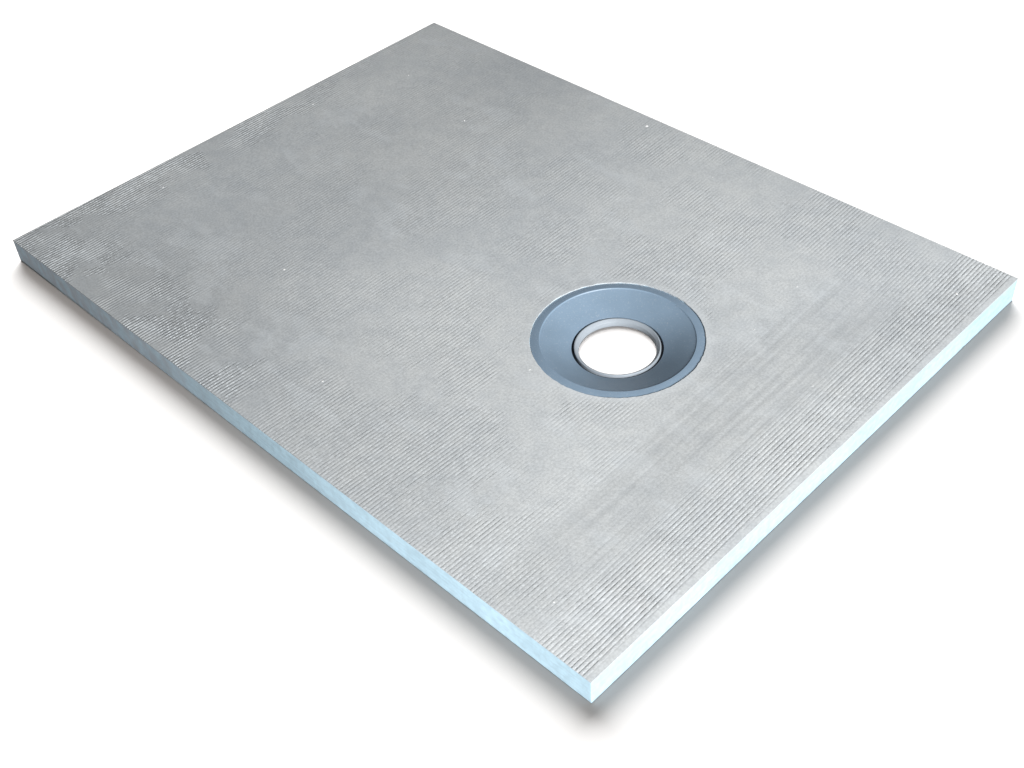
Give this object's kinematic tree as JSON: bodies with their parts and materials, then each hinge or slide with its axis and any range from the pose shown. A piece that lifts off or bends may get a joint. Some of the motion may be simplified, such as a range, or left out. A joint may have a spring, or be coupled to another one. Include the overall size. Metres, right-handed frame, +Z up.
{
  "type": "foam shower tray",
  "caption": "Rectangular foam shower tray with a coated top that falls to an off-centre round drain dish with a through hole.",
  "frame": {"origin": "middle of the underside, halfway along both sides of the tray", "axes": "+X along the long side towards the drain end, +Y along the short side, +Z up"},
  "size_m": [1.2, 0.9, 0.04],
  "materials": {
    "foam": "sawn extruded polystyrene foam, matte",
    "coating": "grey cement and glass-fibre mesh coating with fine combed ribs",
    "dish": "blue-grey moulded plastic, satin",
    "seal": "black rubber",
    "collar": "pale grey moulded plastic, satin"
  },
  "bodies": {
    "root": {"foam_core": "foam", "top_coating": "coating", "drain_dish": "dish", "seal_ring": "seal", "drain_collar": "collar"}
  },
  "joints": []
}
